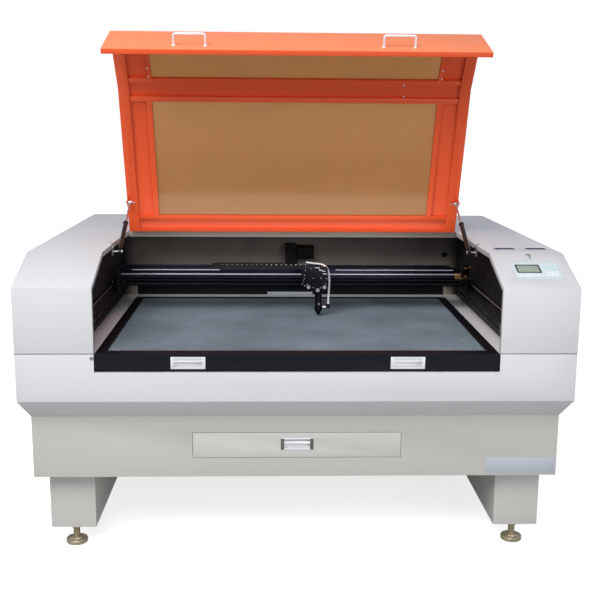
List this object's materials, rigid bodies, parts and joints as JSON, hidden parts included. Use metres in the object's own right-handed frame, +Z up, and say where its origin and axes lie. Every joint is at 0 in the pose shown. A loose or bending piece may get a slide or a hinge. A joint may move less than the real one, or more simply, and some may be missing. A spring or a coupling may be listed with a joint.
{
  "type": "laser engraving machine",
  "caption": "Floor-standing laser cutter and engraver with a hinged amber-windowed lid, a pull-out honeycomb table and a belt-driven gantry.",
  "frame": {"origin": "on the floor under the middle of the bounding box", "axes": "+X to the right seen from the front, +Y from the front towards the back, +Z up"},
  "size_m": [1.9, 1.6, 1.8405],
  "materials": {
    "housing_paint": "satin powder coat",
    "skirt_paint": "satin powder coat",
    "lid_paint": "satin powder coat",
    "bridge_paint": "satin powder coat",
    "liner_paint": "matt",
    "black_paint": "matt",
    "table_paint": "satin",
    "amber_acrylic": "clear tinted acrylic",
    "anodised_dark": "dark anodised",
    "rail_steel": "ground",
    "zinc_steel": "zinc plated",
    "foot_steel": "yellow zinc plated",
    "polished_steel": "polished",
    "honeycomb_aluminium": "mill finish",
    "aluminium_part": "machined",
    "cast_dark": "dark machined",
    "belt_rubber": "matt",
    "black_plastic": "moulded",
    "hose_plastic": "translucent",
    "membrane": "printed film",
    "display": "dark screen",
    "meter_plastic": "moulded",
    "tube_glass": "clear glass"
  },
  "bodies": {
    "machine": {"lower_housing": "housing_paint", "stand": "skirt_paint", "left_leg": "skirt_paint", "right_leg": "skirt_paint", "left_housing": "housing_paint", "right_housing": "housing_paint", "rear_bridge": "bridge_paint", "rear_cover": "housing_paint", "rear_panel": "housing_paint", "exhaust_spigot": "zinc_steel", "chamber_liner": "liner_paint", "rear_apron": "black_paint", "tube_deck": "liner_paint", "laser_tube": "tube_glass", "y_rails": "rail_steel", "y_belts": "belt_rubber", "y_motor": "black_paint", "y_drive_case": "anodised_dark", "control_panel": "membrane", "control_display": "display", "panel_meters": "meter_plastic", "slide_runners": "zinc_steel", "hinge_base": "zinc_steel", "spring_brackets": "zinc_steel"},
    "lid": {"lid_shell": "lid_paint", "window_frames": "lid_paint", "large_window": "amber_acrylic", "small_window": "amber_acrylic", "lid_handles": "polished_steel", "hinge_flaps": "zinc_steel"},
    "gas_cylinder_left_body": {"gas_cylinder_left": "black_paint"},
    "gas_rod_left_body": {"gas_rod_left": "polished_steel"},
    "gas_cylinder_right_body": {"gas_cylinder_right": "black_paint"},
    "gas_rod_right_body": {"gas_rod_right": "polished_steel"},
    "table": {"table_frame": "table_paint", "honeycomb": "honeycomb_aluminium", "table_handles": "polished_steel"},
    "drawer_body": {"drawer": "skirt_paint", "drawer_handle": "polished_steel"},
    "gantry": {"x_beam": "anodised_dark", "x_rail": "rail_steel", "gantry_end_left": "cast_dark", "gantry_end_right": "cast_dark", "x_belt": "belt_rubber", "x_motor": "black_paint", "end_mirror_mount": "anodised_dark"},
    "x_drive": {"x_drive_pulley": "aluminium_part"},
    "x_idler": {"x_idler_pulley": "aluminium_part"},
    "y_drive": {"y_shaft": "rail_steel"},
    "y_idler_left_body": {"y_idler_left": "aluminium_part"},
    "y_idler_right_body": {"y_idler_right": "aluminium_part"},
    "carriage_body": {"carriage": "aluminium_part", "mirror_head": "cast_dark", "cable_chain": "black_plastic", "air_hose": "hose_plastic"},
    "lens": {"lens_tube": "anodised_dark"},
    "foot_front_left_body": {"foot_front_left": "foot_steel"},
    "foot_front_right_body": {"foot_front_right": "foot_steel"},
    "foot_back_left_body": {"foot_back_left": "foot_steel"},
    "foot_back_right_body": {"foot_back_right": "foot_steel"}
  },
  "joints": [
    {"name": "lid_hinge", "type": "hinge", "parent": "machine", "child": "lid", "pos_m": [0, 0.05, 1.0733], "axis": [1, 0, 0], "range_deg": [0, 70]},
    {"name": "gas_left_pivot", "type": "hinge", "parent": "machine", "child": "gas_cylinder_left_body", "pos_m": [-0.66, -0.35, 1.038], "axis": [1, 0, 0], "range_deg": [-32.56, 0]},
    {"name": "gas_left_slide", "type": "slide", "parent": "gas_cylinder_left_body", "child": "gas_rod_left_body", "axis": [0, 0.8837, 0.4681], "range_m": [-0.08664, 0]},
    {"name": "gas_right_pivot", "type": "hinge", "parent": "machine", "child": "gas_cylinder_right_body", "pos_m": [0.66, -0.35, 1.038], "axis": [1, 0, 0], "range_deg": [-32.56, 0]},
    {"name": "gas_right_slide", "type": "slide", "parent": "gas_cylinder_right_body", "child": "gas_rod_right_body", "axis": [0, 0.8837, 0.4681], "range_m": [-0.08664, 0]},
    {"name": "table_slide", "type": "slide", "parent": "machine", "child": "table", "axis": [0, -1, 0], "range_m": [0, 0.65]},
    {"name": "drawer_slide", "type": "slide", "parent": "machine", "child": "drawer_body", "axis": [0, -1, 0], "range_m": [0, 0.4]},
    {"name": "gantry_slide", "type": "slide", "parent": "machine", "child": "gantry", "axis": [0, 1, 0], "range_m": [-0.58, 0.235]},
    {"name": "y_shaft_spin", "type": "hinge", "parent": "machine", "child": "y_drive", "pos_m": [0, 0.27, 0.815], "axis": [1, 0, 0], "range_deg": [-962.75, 2374.68]},
    {"name": "y_idler_left_spin", "type": "hinge", "parent": "machine", "child": "y_idler_left_body", "pos_m": [-0.723, -0.665, 0.815], "axis": [1, 0, 0], "range_deg": [-962.75, 2374.68]},
    {"name": "y_idler_right_spin", "type": "hinge", "parent": "machine", "child": "y_idler_right_body", "pos_m": [0.723, -0.665, 0.815], "axis": [1, 0, 0], "range_deg": [-962.75, 2374.68]},
    {"name": "carriage_slide", "type": "slide", "parent": "gantry", "child": "carriage_body", "axis": [1, 0, 0], "range_m": [-0.69, 0.49], "deforming": ["cable_chain"]},
    {"name": "x_drive_spin", "type": "hinge", "parent": "gantry", "child": "x_drive", "pos_m": [-0.69, -0.091, 0.878], "axis": [0, 1, 0], "range_deg": [-4942.76, 3510.37]},
    {"name": "x_idler_spin", "type": "hinge", "parent": "gantry", "child": "x_idler", "pos_m": [0.69, -0.091, 0.878], "axis": [0, 1, 0], "range_deg": [-4942.76, 3510.37]},
    {"name": "focus_slide", "type": "slide", "parent": "carriage_body", "child": "lens", "axis": [0, 0, 1], "range_m": [-0.003, 0.012], "deforming": ["air_hose"]},
    {"name": "foot_front_left_turn", "type": "hinge", "parent": "machine", "child": "foot_front_left_body", "pos_m": [-0.8035, -0.617, 0.07], "axis": [0, 0, 1], "continuous": true},
    {"name": "foot_front_right_turn", "type": "hinge", "parent": "machine", "child": "foot_front_right_body", "pos_m": [0.8035, -0.617, 0.07], "axis": [0, 0, 1], "continuous": true},
    {"name": "foot_back_left_turn", "type": "hinge", "parent": "machine", "child": "foot_back_left_body", "pos_m": [-0.8035, 0.557, 0.07], "axis": [0, 0, 1], "continuous": true},
    {"name": "foot_back_right_turn", "type": "hinge", "parent": "machine", "child": "foot_back_right_body", "pos_m": [0.8035, 0.557, 0.07], "axis": [0, 0, 1], "continuous": true}
  ],
  "couplings": [
    {"joint": "gas_left_pivot", "follows": "lid_hinge", "ratio": -0.46082},
    {"joint": "gas_left_slide", "follows": "lid_hinge", "m_per_rad": -0.070503},
    {"joint": "gas_right_pivot", "follows": "lid_hinge", "ratio": -0.46082},
    {"joint": "gas_right_slide", "follows": "lid_hinge", "m_per_rad": -0.070503},
    {"joint": "y_shaft_spin", "follows": "gantry_slide", "rad_per_m": -71.429},
    {"joint": "y_idler_left_spin", "follows": "gantry_slide", "rad_per_m": -71.429},
    {"joint": "y_idler_right_spin", "follows": "gantry_slide", "rad_per_m": -71.429},
    {"joint": "x_drive_spin", "follows": "carriage_slide", "rad_per_m": 125},
    {"joint": "x_idler_spin", "follows": "carriage_slide", "rad_per_m": 125}
  ]
}
